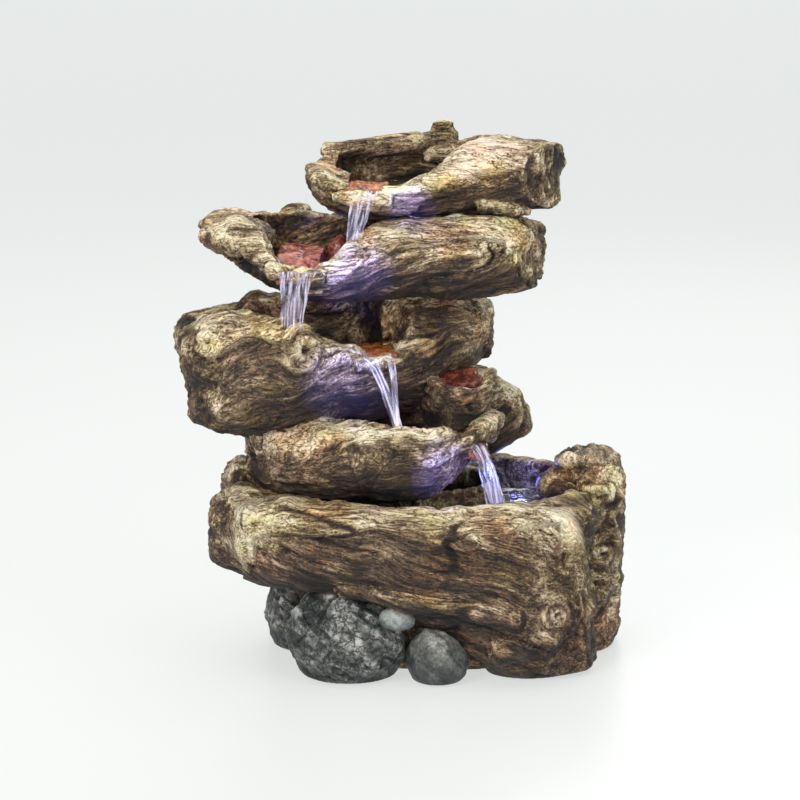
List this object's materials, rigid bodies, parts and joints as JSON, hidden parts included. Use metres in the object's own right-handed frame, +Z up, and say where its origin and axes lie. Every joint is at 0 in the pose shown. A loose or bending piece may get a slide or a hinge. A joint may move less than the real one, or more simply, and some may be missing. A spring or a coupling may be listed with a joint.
{
  "type": "tabletop water fountain",
  "caption": "Tabletop fountain of stacked hollow logs that spill lit water from pool to pool into a basin over rocks, with a pump in its column.",
  "frame": {"origin": "middle of the bounding box's bottom face, on the surface that the feet stand on", "axes": "+Z up, +X to the right and -Y towards the viewer, who faces the spill mouths"},
  "size_m": [0.2998, 0.1924, 0.355],
  "materials": {
    "cast_bark": "painted resin casting, matt",
    "cast_basin": "painted resin casting, matt",
    "cast_rock": "painted resin casting, satin",
    "cast_pebble": "painted resin casting, satin",
    "red_stone": "wet terracotta",
    "hose": "soft clear vinyl",
    "black_plastic": "moulded",
    "grey_plastic": "moulded",
    "impeller_plastic": "moulded",
    "shaft_steel": "ground",
    "stator_iron": "potted",
    "sponge": "open foam",
    "rubber": "soft",
    "lead": "soft sleeve",
    "board": "white solder mask",
    "lens": "clear dome"
  },
  "bodies": {
    "fountain": {"basin_bowl": "cast_basin", "basin_front_log": "cast_bark", "basin_left_stump": "cast_bark", "basin_right_stump": "cast_bark", "cord_grommet": "rubber", "first_log": "cast_bark", "foot_pads": "rubber", "fourth_log": "cast_bark", "fourth_stump": "cast_bark", "impeller_shaft": "shaft_steel", "ledge_stone": "red_stone", "light_board_basin": "board", "light_board_fourth": "board", "light_board_second": "board", "light_board_third": "board", "light_collar": "black_plastic", "light_housing_basin": "black_plastic", "light_housing_fourth": "black_plastic", "light_housing_second": "black_plastic", "light_housing_third": "black_plastic", "light_lead_basin": "lead", "light_lead_fourth": "lead", "light_lead_second": "lead", "light_lead_third": "lead", "light_lens_basin": "lens", "light_lens_fourth": "lens", "light_lens_second": "lens", "light_lens_third": "lens", "outlet_nozzle": "black_plastic", "pool_stone": "red_stone", "pump_body": "black_plastic", "pump_cover": "black_plastic", "pump_pedestal": "cast_basin", "pump_seal": "rubber", "pump_stator": "stator_iron", "riser_hose": "hose", "riser_spout": "black_plastic", "rock_large": "cast_rock", "rock_left": "cast_rock", "rock_pebble": "cast_pebble", "rock_round": "cast_rock", "second_log": "cast_bark", "shaft_bushing_front": "rubber", "shaft_bushing_rear": "rubber", "side_ledge": "cast_bark", "spill_stone_1": "red_stone", "spill_stone_2": "red_stone", "spill_stone_3": "red_stone", "spill_stone_4": "red_stone", "suction_cups": "rubber", "third_log": "cast_bark"},
    "cover": {"access_cover": "cast_bark"},
    "strainer": {"strainer": "black_plastic", "filter_sponge": "sponge"},
    "dial": {"flow_dial": "grey_plastic"},
    "impeller": {"impeller": "impeller_plastic"}
  },
  "joints": [
    {"name": "impeller_spin", "type": "hinge", "parent": "fountain", "child": "impeller", "pos_m": [0, 0.012, 0.064], "axis": [1, 0, 0], "continuous": true},
    {"name": "strainer_pull", "type": "slide", "parent": "fountain", "child": "strainer", "axis": [1, 0, 0], "range_m": [0, 0.014]},
    {"name": "dial_turn", "type": "hinge", "parent": "strainer", "child": "dial", "pos_m": [0.032, 0.012, 0.064], "axis": [1, 0, 0], "range_deg": [0, 60]},
    {"name": "cover_pull", "type": "slide", "parent": "fountain", "child": "cover", "axis": [0, 1, 0], "range_m": [0, 0.03]}
  ]
}
